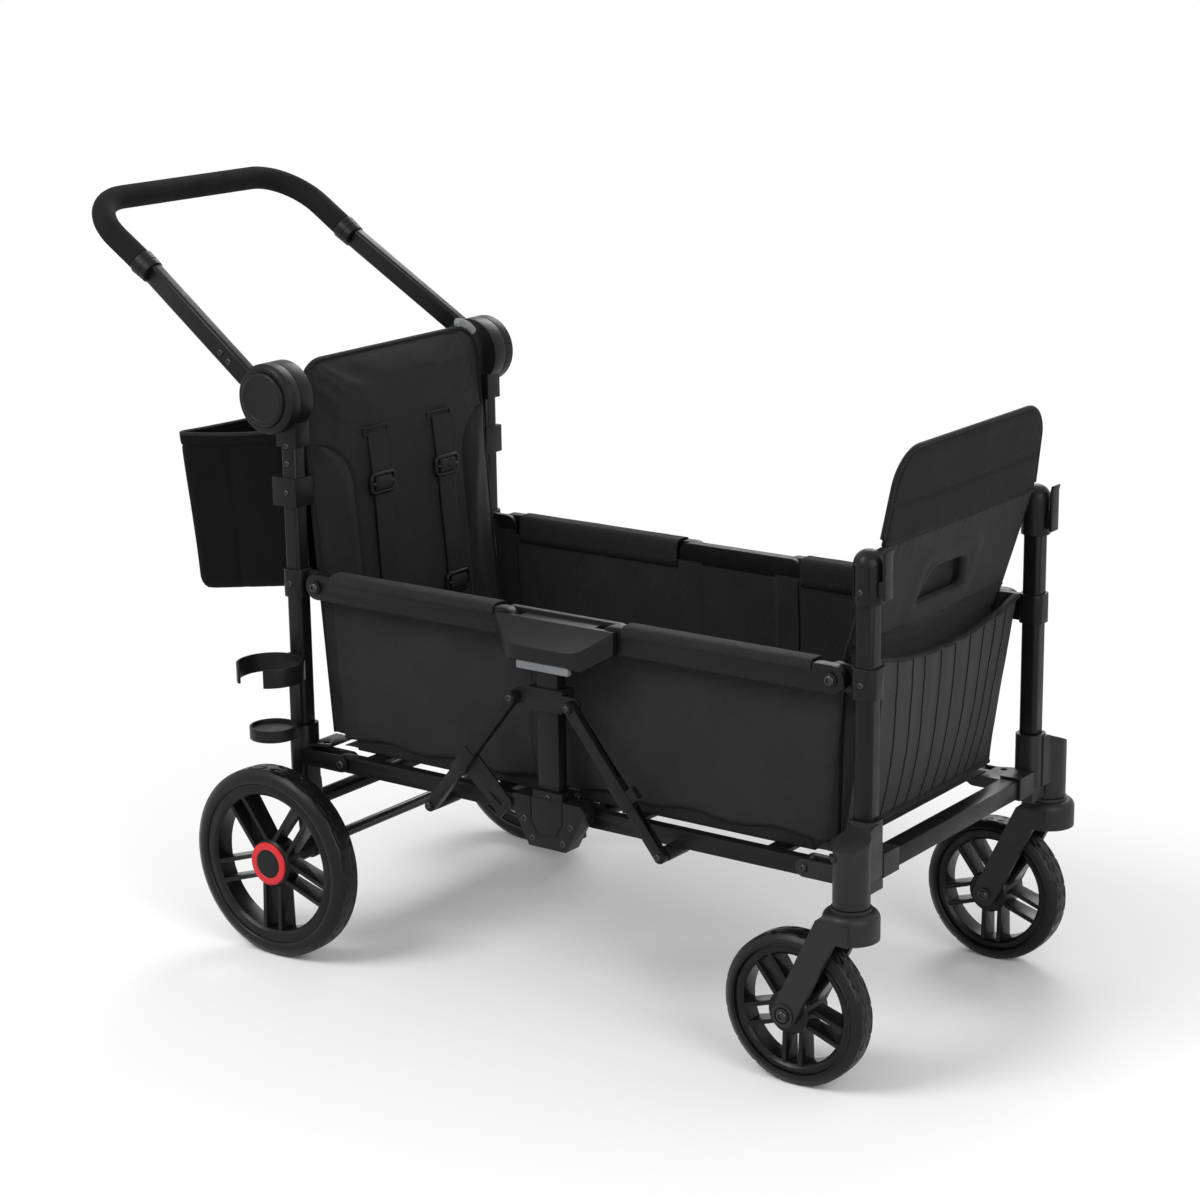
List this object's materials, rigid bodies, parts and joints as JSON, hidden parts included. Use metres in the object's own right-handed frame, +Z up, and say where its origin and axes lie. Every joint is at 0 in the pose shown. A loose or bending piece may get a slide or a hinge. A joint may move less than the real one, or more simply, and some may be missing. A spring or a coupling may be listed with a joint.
{
  "type": "folding stroller wagon",
  "caption": "Folding stroller wagon with a soft-sided tub between wheeled end frames, a push handle on locking pivots, swivel front wheels, a rear storage bag and a cup holder.",
  "frame": {"origin": "on the floor under the middle of the outline", "axes": "+X to the front with the swivel wheels, +Y to the left, +Z up"},
  "size_m": [1.3602, 0.6336, 1.0431],
  "materials": {
    "frame_black": "satin black powder coat",
    "rail_black": "satin black coated tube",
    "plastic_black": "fine grained black plastic",
    "tyre_black": "smooth black foam rubber tyre",
    "rim_black": "satin black plastic",
    "ring_red": "gloss red plastic",
    "foam_black": "matt black foam",
    "fabric_black": "plain woven black fabric",
    "mesh_black": "open black mesh with a bound edge",
    "board_black": "fabric covered board",
    "grey_plastic": "grey plastic",
    "bolt_black": "blackened steel"
  },
  "bodies": {
    "rear_frame": {"rear_posts": "frame_black", "rear_corners": "frame_black", "rear_axle": "bolt_black", "rear_cross_tube": "frame_black", "rear_rail_brackets": "plastic_black", "hub_bases": "plastic_black", "bag_clamps": "plastic_black", "storage_bag": "fabric_black", "cup_holder": "plastic_black", "rear_seat_back": "fabric_black", "harness_straps": "fabric_black"},
    "handle": {"handle_arms": "frame_black", "grip_collars": "plastic_black", "grip_foam": "foam_black", "hub_covers": "plastic_black"},
    "button_right": {"pivot_button_right": "plastic_black"},
    "button_left": {"pivot_button_left": "plastic_black"},
    "rear_wheel_right": {"rear_tyre_right": "tyre_black", "rear_rim_right": "rim_black", "hub_ring_right": "ring_red"},
    "rear_wheel_left": {"rear_tyre_left": "tyre_black", "rear_rim_left": "rim_black", "hub_ring_left": "ring_red"},
    "rear_lower": {"rear_lower_rails": "rail_black", "rear_floor_board": "board_black"},
    "rear_upper": {"rear_top_rails": "rail_black", "rear_hems": "fabric_black", "rear_side_panels": "fabric_black"},
    "center_frame": {"center_columns": "frame_black", "center_brackets": "plastic_black", "latch_housings": "plastic_black", "center_cross_tube": "frame_black"},
    "latch_right": {"latch_bar_right": "grey_plastic"},
    "latch_left": {"latch_bar_left": "grey_plastic"},
    "slider": {"link_sliders": "plastic_black"},
    "rear_brace": {"rear_links": "frame_black"},
    "front_brace": {"front_links": "frame_black"},
    "front_lower": {"front_lower_rails": "rail_black", "front_floor_board": "board_black"},
    "front_upper": {"front_top_rails": "rail_black", "front_hems": "fabric_black", "front_side_panels": "fabric_black"},
    "front_frame": {"front_posts": "frame_black", "front_castings": "plastic_black", "front_cross_bar": "frame_black", "post_caps": "plastic_black", "cap_clips": "plastic_black", "front_rail_brackets": "plastic_black", "front_end_wall": "fabric_black", "mesh_pocket": "mesh_black"},
    "head": {"head_panel": "fabric_black"},
    "caster_right": {"fork_right": "plastic_black", "front_bolt_right": "bolt_black"},
    "caster_left": {"fork_left": "plastic_black", "front_bolt_left": "bolt_black"},
    "front_wheel_right": {"front_tyre_right": "tyre_black", "front_rim_right": "rim_black"},
    "front_wheel_left": {"front_tyre_left": "tyre_black", "front_rim_left": "rim_black"}
  },
  "joints": [
    {"name": "fold", "type": "hinge", "parent": "rear_frame", "child": "rear_lower", "pos_m": [-0.20193, 0, 0.274], "axis": [0, -1, 0], "range_deg": [0, 75], "deforming": ["rear_side_panels", "front_side_panels"]},
    {"name": "center_level", "type": "hinge", "parent": "rear_lower", "child": "center_frame", "pos_m": [0.12807, 0, 0.274], "axis": [0, -1, 0], "range_deg": [-75, 0]},
    {"name": "front_lower_fold", "type": "hinge", "parent": "center_frame", "child": "front_lower", "pos_m": [0.22807, 0, 0.274], "axis": [0, -1, 0], "range_deg": [-75, 0]},
    {"name": "front_level", "type": "hinge", "parent": "front_lower", "child": "front_frame", "pos_m": [0.55807, 0, 0.274], "axis": [0, -1, 0], "range_deg": [0, 75]},
    {"name": "rear_upper_fold", "type": "hinge", "parent": "rear_frame", "child": "rear_upper", "pos_m": [-0.23793, 0, 0.523], "axis": [0, -1, 0], "range_deg": [0, 75]},
    {"name": "front_upper_fold", "type": "hinge", "parent": "front_frame", "child": "front_upper", "pos_m": [0.59407, 0, 0.523], "axis": [0, -1, 0], "range_deg": [-75, 0]},
    {"name": "slider_run", "type": "slide", "parent": "center_frame", "child": "slider", "axis": [0, 0, -1], "range_m": [0, 0.0743]},
    {"name": "rear_brace_swing", "type": "hinge", "parent": "slider", "child": "rear_brace", "pos_m": [0.13207, 0, 0.436], "axis": [0, -1, 0], "range_deg": [0, 32.25]},
    {"name": "front_brace_swing", "type": "hinge", "parent": "slider", "child": "front_brace", "pos_m": [0.22407, 0, 0.436], "axis": [0, -1, 0], "range_deg": [-32.25, 0]},
    {"name": "handle_swing", "type": "hinge", "parent": "rear_frame", "child": "handle", "pos_m": [-0.29993, 0, 0.783], "axis": [0, 1, 0], "range_deg": [-40, 55]},
    {"name": "button_right_press", "type": "slide", "parent": "handle", "child": "button_right", "axis": [0, 1, 0], "range_m": [0, 0.004], "stiffness_N_per_m": 600},
    {"name": "button_left_press", "type": "slide", "parent": "handle", "child": "button_left", "axis": [0, -1, 0], "range_m": [0, 0.004], "stiffness_N_per_m": 600},
    {"name": "rear_wheel_right_spin", "type": "hinge", "parent": "rear_frame", "child": "rear_wheel_right", "pos_m": [-0.27193, -0.293, 0.137], "axis": [0, 1, 0], "continuous": true},
    {"name": "rear_wheel_left_spin", "type": "hinge", "parent": "rear_frame", "child": "rear_wheel_left", "pos_m": [-0.27193, 0.293, 0.137], "axis": [0, 1, 0], "continuous": true},
    {"name": "latch_right_lift", "type": "slide", "parent": "center_frame", "child": "latch_right", "axis": [0, 0, 1], "range_m": [0, 0.008], "stiffness_N_per_m": 600},
    {"name": "latch_left_lift", "type": "slide", "parent": "center_frame", "child": "latch_left", "axis": [0, 0, 1], "range_m": [0, 0.008], "stiffness_N_per_m": 600},
    {"name": "head_fold", "type": "hinge", "parent": "front_frame", "child": "head", "pos_m": [0.64307, 0, 0.69], "axis": [0, -1, 0], "range_deg": [0, 80]},
    {"name": "caster_right_swivel", "type": "hinge", "parent": "front_frame", "child": "caster_right", "pos_m": [0.64407, -0.258, 0.25], "axis": [0, 0, 1], "continuous": true},
    {"name": "caster_left_swivel", "type": "hinge", "parent": "front_frame", "child": "caster_left", "pos_m": [0.64407, 0.258, 0.25], "axis": [0, 0, 1], "continuous": true},
    {"name": "front_wheel_right_spin", "type": "hinge", "parent": "caster_right", "child": "front_wheel_right", "pos_m": [0.56807, -0.258, 0.101], "axis": [0, 1, 0], "continuous": true},
    {"name": "front_wheel_left_spin", "type": "hinge", "parent": "caster_left", "child": "front_wheel_left", "pos_m": [0.56807, 0.258, 0.101], "axis": [0, 1, 0], "continuous": true}
  ],
  "couplings": [
    {"joint": "center_level", "follows": "fold", "ratio": -1},
    {"joint": "front_lower_fold", "follows": "fold", "ratio": -1},
    {"joint": "front_level", "follows": "fold", "ratio": 1},
    {"joint": "rear_upper_fold", "follows": "fold", "ratio": 1},
    {"joint": "front_upper_fold", "follows": "fold", "ratio": -1},
    {"joint": "slider_run", "follows": "fold", "m_per_rad": 0.056762},
    {"joint": "rear_brace_swing", "follows": "fold", "ratio": 0.42994},
    {"joint": "front_brace_swing", "follows": "fold", "ratio": -0.42994}
  ]
}
